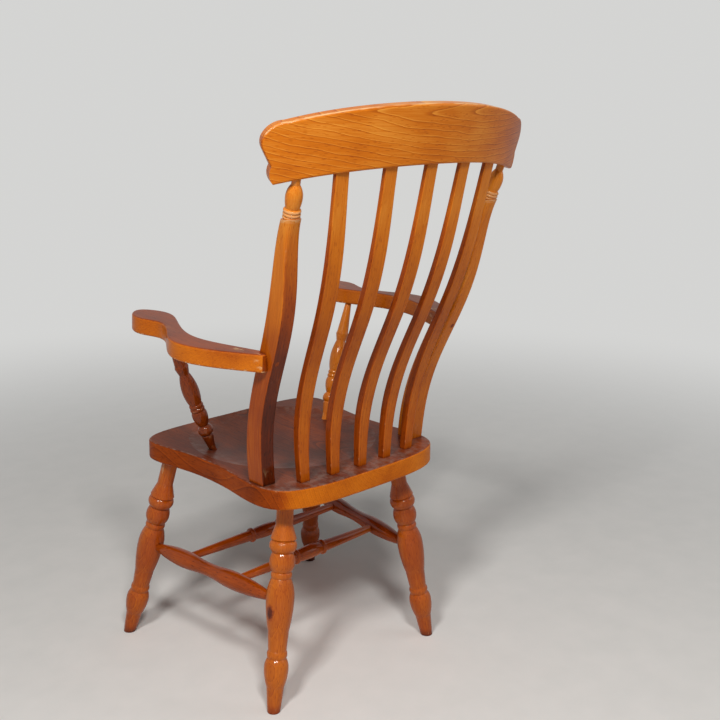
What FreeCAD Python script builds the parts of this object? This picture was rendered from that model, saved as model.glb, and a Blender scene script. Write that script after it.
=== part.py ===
"""Slat back armchair of turned and shaped beech, as a parametric document.

Millimetres, +Z up. The chair faces -Y, its left side is +X, and the origin is on the floor under
the middle of the chair's box. Every joint is a tenon in a socket that takes its place and size
from the tenon plus one named clearance.
"""
import FreeCAD
import Part
import Sketcher
import math
import os
import re
from FreeCAD import Placement, Rotation, Vector

SIZES = {
    # Fit of every tenon in its socket
    "joint_clearance": 0.15,
    # Seat board: its outline narrows to a waist and flares to both ends
    "seat_height": 430,
    "seat_thickness": 38,
    "seat_rear": 161,
    "seat_front": -306,
    "seat_waist_half_width": 208,
    "seat_flare": 62,
    "seat_rear_corner_power": 3.5,
    "seat_front_corner_power": 5,
    "seat_edge_round": 4,
    "dish_depth": 15,
    "dish_half_width": 192,
    "dish_half_length": 200,
    "dish_middle": -112,
    "dish_bowl_height": 60,
    # Where the leg axes meet the floor and the underside of the seat
    "rear_foot_side": 208,
    "rear_foot_back": 117,
    "rear_leg_top_side": 145,
    "rear_leg_top_back": 77,
    "front_foot_side": 253,
    "front_foot_back": -319.3,
    "front_leg_top_side": 193,
    "front_leg_top_back": -238,
    # Leg turning: heights run up the axis from the floor
    "leg_floor_trim": 12,
    "leg_foot_radius": 11.4,
    "leg_ankle_low_height": 45,
    "leg_ankle_low_radius": 16.6,
    "leg_ankle_height": 80,
    "leg_ankle_radius": 23.2,
    "leg_ankle_groove_height": 98,
    "leg_ankle_groove_radius": 17.6,
    "leg_ankle_ring_height": 105,
    "leg_ankle_ring_radius": 19.4,
    "leg_ring_groove_height": 112,
    "leg_ring_groove_radius": 17.4,
    "leg_taper_height": 148,
    "leg_taper_radius": 20,
    "leg_swell_height": 210,
    "leg_swell_radius": 26.8,
    "leg_shoulder_height": 246,
    "leg_shoulder_radius": 18.4,
    "leg_small_ring_height": 252,
    "leg_small_ring_radius": 20.2,
    "leg_ball_groove_height": 258,
    "leg_ball_groove_radius": 18,
    "leg_ball_height": 276,
    "leg_ball_radius": 24.4,
    "leg_ball_top_height": 294,
    "leg_ball_top_radius": 19.5,
    "leg_bead_height": 307,
    "leg_bead_radius": 26.2,
    "leg_bead_top_height": 317,
    "leg_bead_top_radius": 22,
    "leg_collar_height": 320,
    "leg_collar_radius": 24.6,
    "leg_neck_height": 346,
    "leg_neck_radius": 16.2,
    "leg_tenon_depth": 26,
    # Side stretchers run from leg to leg and swell where the cross stretchers enter
    "side_bar_height": 199,
    "side_bar_end_radius": 8,
    "side_bar_swell_radius": 17.2,
    "side_bar_middle_radius": 13,
    "side_bar_tenon_depth": 20,
    "rear_cross_place": 0.33,
    "front_cross_place": 0.715,
    # Cross stretchers: two rings and a fuller middle
    "cross_bar_end_radius": 7.5,
    "cross_bar_ring_radius": 15.4,
    "cross_bar_ring_half_width": 5,
    "cross_bar_ring_place": 0.095,
    "cross_bar_groove_radius": 11.6,
    "cross_bar_middle_radius": 14,
    "cross_bar_tenon_depth": 12,
    # Back: heights over the seat at which the bends of laths and posts are given as backward rakes
    "bend_low_height": 105,
    "bend_waist_height": 215,
    "bend_middle_height": 330,
    "bend_upper_height": 450,
    "back_height": 580,
    "lath_low_rake": 7,
    "lath_waist_rake": 43,
    "lath_middle_rake": 98,
    "lath_upper_rake": 140,
    "lath_rake": 170,
    "lath_foot_line": 125.5,
    "lath_foot_bow_radius": 970,
    "lath_foot_spacing": 67.8,
    "lath_top_spacing": 92.5,
    # Share of the bow's turn that each lath follows
    "lath_turn_share": 0.35,
    "lath_corner_radius": 2.2,
    "lath_foot_width": 22,
    "lath_low_width": 27,
    "lath_waist_width": 29.5,
    "lath_middle_width": 32,
    "lath_upper_width": 32,
    "lath_top_width": 28,
    "lath_foot_thickness": 15,
    "lath_low_thickness": 16.5,
    "lath_waist_thickness": 15,
    "lath_middle_thickness": 13,
    "lath_upper_thickness": 11,
    "lath_top_thickness": 9.5,
    "lath_seat_tenon": 20,
    "lath_crest_tenon": 40,
    # Back posts: bent square lower part, turned top
    "post_foot_side": 195.5,
    "post_foot_line": 69.5,
    "post_top_side": 258,
    "post_low_rake": 10,
    "post_waist_rake": 49,
    "post_middle_rake": 98,
    "post_upper_rake": 132.5,
    "post_rake": 175,
    "post_width": 30,
    "post_depth": 42.6,
    "post_corner_radius": 2.5,
    "post_tenon_radius": 12,
    "post_tenon_depth": 24,
    "post_square_height": 385,
    "post_middle_depth": 42.4,
    "post_upper_depth": 37.6,
    # Turned top: drops run down from the height of the back
    "post_round_drop": 72.5,
    "post_round_radius": 17,
    "post_ring_radius": 15.2,
    "post_ring_groove_radius": 13.6,
    "post_ring_half_width": 3,
    "post_bulb_foot_radius": 12,
    "post_bulb_radius": 14.7,
    "post_bulb_drop": 36,
    "post_neck_radius": 7.6,
    "post_neck_drop": 15,
    "post_crest_tenon": 26,
    # Crest rail: bowed board with an arched top and lobed ends
    "crest_bow_radius": 680,
    "crest_lean": 12,
    "crest_thickness": 24,
    "crest_middle_low": 13,
    "crest_middle_high": 120,
    "crest_corner_side": 293,
    "crest_corner_high": -27,
    "crest_shoulder_side": 286,
    "crest_shoulder_high": 76,
    "crest_ear_side": 314,
    "crest_ear_high": 56,
    "crest_tip_side": 320,
    "crest_tip_high": 38,
    "crest_notch_side": 300,
    "crest_notch_high": 2,
    "crest_lobe_side": 301,
    "crest_lobe_high": -13,
    "crest_edge_round": 4.5,
    "crest_tip_round": 25,
    "crest_shoulder_round": 40,
    # Arms: flat boards that rise towards the front
    "arm_rear_top": 692,
    "arm_rise": 2.4,
    "arm_thickness": 33,
    "arm_edge_round": 4,
    "arm_rear": 138,
    "arm_rear_inner": 220,
    "arm_rear_outer": 247,
    "arm_elbow_line": 64,
    "arm_elbow_inner": 247,
    "arm_elbow_outer": 296,
    "arm_wide_line": -30,
    "arm_wide_inner": 270,
    "arm_wide_outer": 322,
    "arm_slim_line": -160,
    "arm_slim_inner": 226,
    "arm_slim_outer": 270,
    "arm_hand_line": -216,
    "arm_hand_inner": 214,
    "arm_hand_outer": 284,
    "arm_front": -264,
    "arm_front_side": 250,
    # Arm supports: heights run up the axis from the seat
    "support_foot_side": 154,
    "support_foot_line": -148.5,
    "support_top_side": 238,
    "support_top_line": -168,
    "support_foot_radius": 8,
    "support_cone_height": 28,
    "support_cone_radius": 11.8,
    "support_low_groove_height": 30.5,
    "support_low_groove_radius": 11,
    "support_low_ring_height": 39,
    "support_low_ring_radius": 15.2,
    "support_waist_height": 51,
    "support_waist_radius": 9.4,
    "support_ball_height": 76,
    "support_ball_radius": 15.8,
    "support_ball_top_height": 85,
    "support_ball_top_radius": 13.2,
    "support_ring_height": 89,
    "support_ring_radius": 14.8,
    "support_ring_top_height": 93,
    "support_ring_top_radius": 13,
    "support_bead_height": 97,
    "support_bead_radius": 14.4,
    "support_bead_top_height": 101,
    "support_bead_top_radius": 12.4,
    "support_vase_height": 130,
    "support_vase_radius": 17,
    "support_neck_height": 168,
    "support_neck_radius": 10.2,
    "support_cup_height": 184,
    "support_cup_radius": 14,
    "support_cup_top_height": 190,
    "support_cup_top_radius": 12.4,
    "support_arm_radius": 6.8,
    "support_seat_tenon": 20,
    "support_arm_tenon": 16,
    # Screws that draw the arms to the posts, under wooden plugs
    "screw_radius": 2.2,
    "screw_head_radius": 4.2,
    "screw_head_height": 3,
    "screw_reach": 13,
    "screw_side": 5,
    "plug_radius": 4.5,
    "plug_depth": 5,
    "screw_head_depth": 9,
}

doc = FreeCAD.newDocument("SlatBackArmchair")
sheet = doc.addObject("Spreadsheet::Sheet", "Sizes")
for row, (name, number) in enumerate(SIZES.items(), start=1):
    sheet.set(f"A{row}", name)
    sheet.set(f"B{row}", str(number))
    sheet.setAlias(f"B{row}", name)
doc.recompute()

UP = Vector(0, 0, 1)
SIDES = (("left", 1), ("right", -1))
subparts = []


def size(name):
    """A driving dimension, read from the sheet."""
    return float(sheet.get(name))


def bound(text):
    """A sum of size names as an expression on the sheet."""
    return re.sub(r"[a-z]\w*", r"Sizes.\g<0>", text)


def amount(text):
    """The value of a sum of size names and numbers."""
    return float(sheet.evalExpression(bound(text)))


def attach(sketch, body, role):
    """Lay a sketch on one of its own body's origin planes."""
    plane = next(f for f in body.Origin.OriginFeatures if f.Role == role)
    sketch.AttachmentSupport = (plane, [""])
    sketch.MapMode = "FlatFace"


def constrain(sketch, kind, places, text):
    """Add a constraint whose value is bound to the sheet."""
    index = sketch.addConstraint(Sketcher.Constraint(kind, *places, amount(text)))
    sketch.setExpression(f"Constraints[{index}]", bound(text))


def along(start, end):
    """Placement that stands the Z axis at start and points it to end."""
    return Placement(start, Rotation(UP, end - start))


def keep(feature, label):
    """Name a finished sub-part."""
    feature.Label = label
    subparts.append(feature)
    return feature


def cut(name, base, tools):
    """One base less any number of tools."""
    feature = doc.addObject("Part::Cut", name)
    feature.Base = base
    feature.Tool = tools[0] if len(tools) == 1 else fuse(name + "_cutters", tools)
    return feature


def fuse(name, pieces):
    feature = doc.addObject("Part::MultiFuse", name)
    feature.Shapes = pieces
    return feature


def rod(name, radius, length, placement):
    """Round tool or tenon with bound sizes."""
    feature = doc.addObject("Part::Cylinder", name)
    feature.setExpression("Radius", bound(radius))
    feature.setExpression("Height", bound(length))
    feature.Placement = placement
    return feature


def turning(name, stations):
    """Body turned from stations of radius, height and shape.

    Between two stations runs a straight line, or, where one of them is a "crown", an arc whose
    centre is level with the crown, so that beads and swellings are round at their fullest.
    """
    body = doc.addObject("PartDesign::Body", name)
    sketch = body.newObject("Sketcher::SketchObject", name + "_profile")
    attach(sketch, body, "XZ_Plane")
    points = [Vector(amount(radius), amount(height), 0) for radius, height, shape in stations]
    foot = Vector(0, points[0].y, 0)
    top = Vector(0, points[-1].y, 0)
    ends = [(sketch.addGeometry(Part.LineSegment(foot, points[0])), 1, 2)]
    for here, there, low, high in zip(points, points[1:], stations, stations[1:]):
        if "crown" not in (low[2], high[2]):
            ends.append((sketch.addGeometry(Part.LineSegment(here, there)), 1, 2))
            continue
        crown, other = (here, there) if low[2] == "crown" else (there, here)
        rise = crown.x - other.x
        reach = (rise ** 2 + (crown.y - other.y) ** 2) / (2 * rise)
        centre = Vector(crown.x - reach, crown.y, 0)
        circle = Part.Circle(centre, Vector(0, 0, 1), abs(reach))
        first, last = circle.parameter(here), circle.parameter(there)
        forward = (last - first) % (2 * math.pi) < math.pi
        arc = Part.ArcOfCircle(circle, *((first, last) if forward else (last, first)))
        index = sketch.addGeometry(arc)
        ends.append((index, 1, 2) if forward else (index, 2, 1))
        constrain(sketch, "DistanceY", (-1, 1, index, 3), (low if low[2] == "crown" else high)[1])
    ends.append((sketch.addGeometry(Part.LineSegment(points[-1], top)), 1, 2))
    ends.append((sketch.addGeometry(Part.LineSegment(top, foot)), 1, 2))
    for (geo, start, end), (after, begin, finish) in zip(ends, ends[1:] + ends[:1]):
        sketch.addConstraint(Sketcher.Constraint("Coincident", geo, end, after, begin))
    for (geo, start, end), (radius, height, shape) in zip(ends[1:], stations):
        constrain(sketch, "DistanceX", (-1, 1, geo, start), radius)
        constrain(sketch, "DistanceY", (-1, 1, geo, start), height)
    sketch.addConstraint(Sketcher.Constraint("Vertical", ends[-1][0]))
    sketch.addConstraint(Sketcher.Constraint("PointOnObject", ends[-1][0], 1, -2))
    sketch.addConstraint(Sketcher.Constraint("Horizontal", ends[0][0]))
    sketch.addConstraint(Sketcher.Constraint("Horizontal", ends[-2][0]))
    revolve = body.newObject("PartDesign::Revolution", name + "_revolve")
    revolve.Profile = sketch
    revolve.ReferenceAxis = (sketch, ["V_Axis"])
    revolve.Angle = 360
    return body


def rounded_rectangle(sketch, width, depth, corner):
    """Rectangle about the origin with rounded corners, sizes bound to the sheet."""
    half_w, half_d, r = amount(width) / 2, amount(depth) / 2, amount(corner)
    corners = [(half_w, half_d, 0), (-half_w, half_d, 90), (-half_w, -half_d, 180), (half_w, -half_d, 270)]
    arcs = []
    for x, y, start in corners:
        centre = Vector(x - math.copysign(r, x), y - math.copysign(r, y), 0)
        circle = Part.Circle(centre, Vector(0, 0, 1), r)
        sweep = (math.radians(start), math.radians(start + 90))
        arcs.append(sketch.addGeometry(Part.ArcOfCircle(circle, *sweep)))
    lines = []
    for arc, after in zip(arcs, arcs[1:] + arcs[:1]):
        start = sketch.getPoint(arc, 2)
        end = sketch.getPoint(after, 1)
        lines.append(sketch.addGeometry(Part.LineSegment(start, end)))
    for number, line in enumerate(lines):
        sketch.addConstraint(Sketcher.Constraint("Tangent", arcs[number], 2, line, 1))
        sketch.addConstraint(Sketcher.Constraint("Tangent", line, 2, arcs[(number + 1) % 4], 1))
        level = "Horizontal" if number % 2 == 0 else "Vertical"
        sketch.addConstraint(Sketcher.Constraint(level, line))
    for arc in arcs[1:]:
        sketch.addConstraint(Sketcher.Constraint("Equal", arcs[0], arc))
    constrain(sketch, "Radius", (arcs[0],), corner)
    constrain(sketch, "DistanceX", (lines[1], 1, lines[3], 1), width)
    constrain(sketch, "DistanceY", (lines[2], 1, lines[0], 1), depth)
    sketch.addConstraint(Sketcher.Constraint("Symmetric", arcs[0], 3, arcs[2], 3, -1, 1))


def lofted(name, sections, grow):
    """Body lofted through level sections of place, turn, width, depth and corner radius.

    Grow widens every section, for the cutter of a socket.
    """
    body = doc.addObject("PartDesign::Body", name)
    sketches = []
    for place, turn, width, depth, corner in sections:
        sketch = body.newObject("Sketcher::SketchObject", f"{name}_section")
        attach(sketch, body, "XY_Plane")
        sketch.AttachmentOffset = Placement(place, Rotation(UP, turn))
        rounded_rectangle(sketch, f"{width}{grow}{grow}", f"{depth}{grow}{grow}", f"{corner}{grow}")
        sketches.append(sketch)
    loft = body.newObject("PartDesign::AdditiveLoft", name + "_loft")
    loft.Profile = sketches[0]
    loft.Sections = sketches[1:]
    return body


FIT = " + joint_clearance"
SEAT_TOP = size("seat_height")
SEAT_UNDER = SEAT_TOP - size("seat_thickness")
BACK_TOP = SEAT_TOP + size("back_height")


def bow(radius, x):
    """How far a bow of this radius falls away from its middle at x."""
    return radius - math.sqrt(radius ** 2 - x ** 2)


def crest_line(x):
    """Where the middle of the crest rail stands at x, at the height of the back."""
    return size("lath_foot_line") + size("lath_rake") - bow(size("crest_bow_radius"), x)


# Legs and stretchers

def leg_axis(end, side):
    """Floor point and underside point of one leg's axis."""
    foot = Vector(side * size(end + "_foot_side"), size(end + "_foot_back"), 0)
    top = Vector(side * size(end + "_leg_top_side"), size(end + "_leg_top_back"), SEAT_UNDER)
    return foot, top


def on_axis(axis, height):
    """The point of an axis at a height over the floor."""
    foot, top = axis
    return foot + (top - foot) * ((height - foot.z) / (top.z - foot.z))


LEG_TURNING = [("leg_ankle_low", ""), ("leg_ankle", "crown"), ("leg_ankle_groove", ""),
               ("leg_ankle_ring", "crown"), ("leg_ring_groove", ""), ("leg_taper", ""),
               ("leg_swell", "crown"), ("leg_shoulder", ""), ("leg_small_ring", "crown"),
               ("leg_ball_groove", ""), ("leg_ball", "crown"), ("leg_ball_top", ""),
               ("leg_bead", "crown"), ("leg_bead_top", ""), ("leg_collar", ""), ("leg_neck", "")]


def leg_stations(axis):
    """The leg's turning from under the floor to the end of its tenon."""
    stations = [("leg_foot_radius", "0", "")]
    for name, shape in LEG_TURNING:
        stations.append((name + "_radius", f"leg_floor_trim + {name}_height", shape))
    reach = (axis[1] - axis[0]).Length
    stations.append(("leg_neck_radius", f"leg_floor_trim + {reach} + leg_tenon_depth", ""))
    return stations


side_axes = {}
seat_tools = []
for side_name, side in SIDES:
    rear, front = leg_axis("rear", side), leg_axis("front", side)
    side_axes[side] = (on_axis(rear, size("side_bar_height")), on_axis(front, size("side_bar_height")))
    for end, axis in (("rear", rear), ("front", front)):
        label = f"leg_{end}_{side_name}"
        direction = (axis[1] - axis[0]).normalize()
        blank = turning(label + "_turning", leg_stations(axis))
        blank.Placement = along(axis[0] - direction * size("leg_floor_trim"), axis[1])
        floor = doc.addObject("Part::Box", label + "_floor")
        for edge in ("Length", "Width", "Height"):
            floor.setExpression(edge, "8 * Sizes.leg_floor_trim")
        middle = 4 * size("leg_floor_trim")
        floor.Placement.Base = axis[0] - Vector(middle, middle, 2 * middle)
        bar_start, bar_end = side_axes[side] if end == "rear" else side_axes[side][::-1]
        inward = (bar_end - bar_start).normalize()
        socket_floor = bar_start + inward * (size("leg_swell_radius") - size("side_bar_tenon_depth"))
        socket = rod(label + "_socket", "side_bar_end_radius" + FIT,
                     "side_bar_tenon_depth + leg_swell_radius",
                     along(socket_floor - inward * size("joint_clearance"), bar_end))
        keep(cut(label + "_trimmed", blank, [floor, socket]), label)
        below = axis[1] - direction * size("leg_tenon_depth")
        seat_tools.append(rod(label + "_seat_socket", "leg_neck_radius" + FIT,
                              "leg_tenon_depth + leg_tenon_depth" + FIT, along(below, axis[1])))


def side_bar_point(side, place):
    start, end = side_axes[side]
    return start + (end - start) * place


for side_name, side in SIDES:
    label = f"side_stretcher_{side_name}"
    start, end = side_axes[side]
    inward = (end - start).normalize()
    inset = size("leg_swell_radius") - size("side_bar_tenon_depth")
    length = (end - start).Length - 2 * inset
    rear_swell, front_swell = (size(bar + "_cross_place") * (end - start).Length - inset
                               for bar in ("rear", "front"))
    waist = (rear_swell + front_swell) / 2
    between = "side_bar_swell_radius / 2 + side_bar_middle_radius / 2"
    stations = [("side_bar_end_radius", "0", ""),
                ("side_bar_end_radius", "side_bar_tenon_depth + side_bar_end_radius / 2", ""),
                ("side_bar_swell_radius", f"{rear_swell}", "crown"),
                (between, f"{(rear_swell + waist) / 2}", ""),
                ("side_bar_middle_radius", f"{waist}", "crown"),
                (between, f"{(front_swell + waist) / 2}", ""),
                ("side_bar_swell_radius", f"{front_swell}", "crown"),
                ("side_bar_end_radius", f"{length} - side_bar_tenon_depth - side_bar_end_radius / 2", ""),
                ("side_bar_end_radius", f"{length}", "")]
    blank = turning(label + "_turning", stations)
    blank.Placement = along(start + inward * inset, end)
    sockets = []
    for bar in ("rear", "front"):
        middle = side_bar_point(side, size(bar + "_cross_place"))
        direction = Vector(-side, 0, 0)
        floor = middle + direction * amount("side_bar_swell_radius - cross_bar_tenon_depth - joint_clearance")
        sockets.append(rod(f"{label}_{bar}_socket", "cross_bar_end_radius" + FIT,
                           "side_bar_swell_radius + cross_bar_tenon_depth", along(floor, floor + direction)))
    keep(cut(label + "_bored", blank, sockets), label)

for bar in ("rear", "front"):
    label = f"cross_stretcher_{bar}"
    left, right = (side_bar_point(side, size(bar + "_cross_place")) for side in (1, -1))
    inset = size("side_bar_swell_radius") - size("cross_bar_tenon_depth")
    length = (right - left).Length - 2 * inset
    reach = size("cross_bar_ring_place") * length
    stations = [("cross_bar_end_radius", "0", ""),
                ("cross_bar_end_radius", "cross_bar_tenon_depth", "")]
    for ring in (length / 2 - reach, length / 2 + reach):
        groove = [("cross_bar_groove_radius", f"{ring} - cross_bar_ring_half_width", ""),
                  ("cross_bar_ring_radius", f"{ring}", "crown"),
                  ("cross_bar_groove_radius", f"{ring} + cross_bar_ring_half_width", "")]
        stations += groove
        if ring < length / 2:
            stations.append(("cross_bar_middle_radius", f"{length / 2}", "crown"))
    stations += [("cross_bar_end_radius", f"{length} - cross_bar_tenon_depth", ""),
                 ("cross_bar_end_radius", f"{length}", "")]
    blank = turning(label + "_turning", stations)
    blank.Placement = along(left + Vector(-inset, 0, 0), right)
    keep(blank, label)


# Back laths and posts

BEND = ("low", "waist", "middle", "upper")


def bent_point(kind, foot, top, height):
    """A point of a lath or post from its foot on the seat to its top at the back's height."""
    heights = [0] + [size(f"bend_{name}_height") for name in BEND] + [size("back_height")]
    rakes = [0] + [size(f"{kind}_{name}_rake") for name in BEND] + [size(kind + "_rake")]
    slope = (rakes[-1] - rakes[-2]) / (heights[-1] - heights[-2])
    if height <= 0:
        rake = 0
    elif height >= heights[-1]:
        rake = rakes[-1] + slope * (height - heights[-1])
    else:
        curve = Part.BSplineCurve()
        curve.interpolate(Points=[Vector(y, 0, z) for y, z in zip(rakes, heights)],
                          InitialTangent=Vector(0, 0, 1), FinalTangent=Vector(slope, 0, 1))
        level = Part.Plane(Vector(0, 0, height), Vector(0, 0, 1))
        rake = curve.intersect(level)[0][0].X
    share = height / size("back_height")
    depth = (top.y - foot.y) * rake / rakes[-1]
    return Vector(foot.x + (top.x - foot.x) * share, foot.y + depth, SEAT_TOP + height)


LATH_NAMES = ("outer_left", "inner_left", "centre", "inner_right", "outer_right")
crest_tools = []
for number, lath_name in enumerate(LATH_NAMES):
    label = f"lath_{lath_name}"
    foot_x = (2 - number) * size("lath_foot_spacing")
    top_x = (2 - number) * size("lath_top_spacing")
    foot = Vector(foot_x, size("lath_foot_line") - bow(size("lath_foot_bow_radius"), foot_x), SEAT_TOP)
    top = Vector(top_x, crest_line(top_x), BACK_TOP)
    turns = [-size("lath_turn_share") * math.degrees(math.asin(foot_x / size("lath_foot_bow_radius"))),
             -size("lath_turn_share") * math.degrees(math.asin(top_x / size("crest_bow_radius")))]
    for suffix, grow in (("", ""), ("_mortise", FIT)):
        spare = size("joint_clearance") if grow else 0
        levels = [(-size("lath_seat_tenon") - spare, "lath_foot"), (0, "lath_foot")]
        levels += [(size(f"bend_{name}_height"), f"lath_{name}") for name in BEND]
        levels += [(size("back_height"), "lath_top"),
                   (size("back_height") + size("lath_crest_tenon") + spare, "lath_top")]
        sections = []
        for height, level in levels:
            share = min(max(height / size("back_height"), 0), 1)
            turn = turns[0] + (turns[1] - turns[0]) * share
            place = bent_point("lath", foot, top, height)
            sections.append((place, turn, level + "_width", level + "_thickness", "lath_corner_radius"))
        body = lofted(label + suffix + "_bent", sections, grow)
        if grow:
            seat_tools.append(body)
            crest_tools.append(body)
        else:
            keep(body, label)

post_blanks = {}
post_cutters = {}
for side_name, side in SIDES:
    label = f"back_post_{side_name}"
    foot = Vector(side * size("post_foot_side"), size("post_foot_line"), SEAT_TOP)
    top = Vector(side * size("post_top_side"), crest_line(size("post_top_side")), BACK_TOP)
    levels = [(size("joint_clearance"), "post_width", "post_depth", "post_corner_radius")]
    for name, depth in (("bend_low", "post_depth"), ("bend_waist", "post_depth"),
                        ("bend_middle", "post_middle_depth"), ("post_square", "post_upper_depth")):
        levels.append((size(name + "_height"), "post_width", depth, "post_corner_radius"))
    across = "post_round_radius + post_round_radius + joint_clearance"
    shoulder = size("back_height") - size("post_round_drop")
    levels.append((shoulder, across, across, "post_round_radius"))
    for suffix, grow in (("", ""), ("_housing", FIT)):
        sections = []
        for height, width, depth, corner in levels:
            sections.append((bent_point("post", foot, top, height), 0, width, depth, corner))
        body = lofted(label + suffix + "_bent", sections, grow)
        if grow:
            post_cutters[side] = body
        else:
            square = body
    # The turned top starts inside the bent part and rises through its shoulder
    base = shoulder - 2 * size("post_ring_half_width")
    neck_height = size("back_height") - size("post_neck_drop")
    axis_foot = bent_point("post", foot, top, base)
    axis_top = bent_point("post", foot, top, neck_height)
    direction = (axis_top - axis_foot).normalize()
    stretch = (axis_top - axis_foot).Length / (axis_top.z - axis_foot.z)
    ring = "post_ring_half_width"
    stations = [("post_ring_groove_radius", "0", ""), ("post_ring_groove_radius", f"2.2 * {ring}", "")]
    for step in (3, 5, 7):
        stations += [("post_ring_radius", f"{step} * {ring} + {ring} / 5", "crown"),
                     ("post_ring_groove_radius", f"{step} * {ring} + {ring} * 1.2", "")]
    bulb = (size("back_height") - size("post_bulb_drop") - base) * stretch
    neck = (neck_height - base) * stretch
    stations += [("post_bulb_foot_radius", f"8.6 * {ring}", ""), ("post_bulb_radius", f"{bulb}", "crown"),
                 ("post_neck_radius", f"{neck}", ""), ("post_neck_radius", f"{neck} + post_crest_tenon", "")]
    turned_top = turning(label + "_turned_top", stations)
    turned_top.Placement = along(axis_foot, axis_top)
    tenon = rod(label + "_tenon", "post_tenon_radius", "post_tenon_depth + post_tenon_depth",
                Placement(foot - UP * size("post_tenon_depth"), Rotation()))
    post_blanks[side] = fuse(label + "_blank", [square, turned_top, tenon])
    socket_foot = foot - UP * (size("post_tenon_depth") + size("joint_clearance"))
    seat_tools.append(rod(label + "_seat_socket", "post_tenon_radius" + FIT,
                          "post_tenon_depth + post_tenon_depth", Placement(socket_foot, Rotation())))
    neck_end = axis_foot + direction * (neck + size("post_crest_tenon") + size("joint_clearance"))
    crest_tools.append(rod(label + "_crest_socket", "post_neck_radius" + FIT,
                           "post_crest_tenon + post_crest_tenon", along(neck_end, axis_foot)))


# Screws and plugs at the arms

def arm_under(y):
    """Height of the arms' underside at y."""
    rise = math.tan(math.radians(size("arm_rise")))
    return size("arm_rear_top") - size("arm_thickness") + rise * (size("arm_rear") - y)


def screw_point(side):
    """Where a screw's axis meets the rear face of its post, level with the middle of the arm."""
    foot = Vector(side * size("post_foot_side"), size("post_foot_line"), SEAT_TOP)
    top = Vector(side * size("post_top_side"), crest_line(size("post_top_side")), BACK_TOP)
    level = arm_under(size("arm_rear")) + size("arm_thickness") / 2 - SEAT_TOP
    return bent_point("post", foot, top, level) + Vector(side * size("screw_side"), size("post_depth") / 2, 0)


screws = []
plugs = []
arm_tools = {}
for side_name, side in SIDES:
    rear_face = screw_point(side)
    forward = Vector(0, -1, 0)
    head_top = rear_face + forward * size("screw_head_depth")
    shank = "post_depth - screw_head_depth + screw_reach"
    stations = [("screw_head_radius", "0", ""),
                ("screw_radius", "screw_head_height", ""),
                ("screw_radius", shank, "")]
    screw = turning(f"arm_screw_{side_name}", stations)
    screw.Placement = along(head_top, head_top + forward)
    screws.append(screw)
    plug_floor = rear_face + forward * size("plug_depth")
    plug = rod(f"plug_{side_name}_rod", "plug_radius", "plug_depth + post_depth",
               along(plug_floor, plug_floor - forward))
    flush = doc.addObject("Part::MultiCommon", f"plug_{side_name}")
    flush.Shapes = [plug, post_blanks[side]]
    plugs.append(flush)
    counterbore = rod(f"counterbore_{side_name}", "plug_radius" + FIT, "screw_head_depth + post_depth",
                      along(head_top, head_top - forward))
    head_seat = doc.addObject("Part::Cone", f"head_seat_{side_name}")
    head_seat.setExpression("Radius1", bound("screw_head_radius" + FIT))
    head_seat.setExpression("Radius2", bound("screw_radius" + FIT))
    head_seat.setExpression("Height", bound("screw_head_height"))
    head_seat.Placement = along(head_top, head_top + forward)
    shank_hole = rod(f"shank_hole_{side_name}", "screw_radius" + FIT, shank + FIT,
                     along(head_top, head_top + forward))
    label = f"back_post_{side_name}"
    keep(cut(label + "_bored", post_blanks[side], [counterbore, head_seat, shank_hole]), label)
    arm_tools[side] = [post_cutters[side], shank_hole]

for label, pieces in (("arm_screws", screws), ("arm_screw_plugs", plugs)):
    group = doc.addObject("Part::Compound", label + "_group")
    group.Links = pieces
    keep(group, label)


# Arm supports

SUPPORT_TURNING = [("support_cone", ""), ("support_low_groove", ""), ("support_low_ring", "crown"),
                   ("support_waist", ""), ("support_ball", "crown"), ("support_ball_top", ""),
                   ("support_ring", "crown"), ("support_ring_top", ""), ("support_bead", "crown"),
                   ("support_bead_top", ""), ("support_vase", "crown"), ("support_neck", ""),
                   ("support_cup", ""), ("support_cup_top", "")]
for side_name, side in SIDES:
    label = f"arm_support_{side_name}"
    foot = Vector(side * size("support_foot_side"), size("support_foot_line"), SEAT_TOP)
    top_line = size("support_top_line")
    top = Vector(side * size("support_top_side"), top_line, arm_under(top_line))
    direction = (top - foot).normalize()
    reach = (top - foot).Length
    stations = [("support_foot_radius", "0", ""),
                ("support_foot_radius", "support_seat_tenon + support_foot_radius / 2", "")]
    for name, shape in SUPPORT_TURNING:
        stations.append((name + "_radius", f"support_seat_tenon + {name}_height", shape))
    stations += [("support_arm_radius", f"support_seat_tenon + {reach} - support_arm_radius / 2", ""),
                 ("support_arm_radius", f"support_seat_tenon + {reach} + support_arm_tenon", "")]
    blank = turning(label + "_turning", stations)
    blank.Placement = along(foot - direction * size("support_seat_tenon"), top)
    keep(blank, label)
    low_end = foot - direction * (size("support_seat_tenon") + size("joint_clearance"))
    seat_tools.append(rod(label + "_seat_socket", "support_foot_radius" + FIT,
                          "support_seat_tenon + support_seat_tenon", along(low_end, top)))
    high_end = top + direction * (size("support_arm_tenon") + size("joint_clearance"))
    arm_tools[side].append(rod(label + "_arm_socket", "support_arm_radius" + FIT,
                               "support_arm_tenon + support_arm_tenon", along(high_end, foot)))


# Arms

ARM_PLACES = ("elbow", "wide", "slim", "hand")


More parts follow.
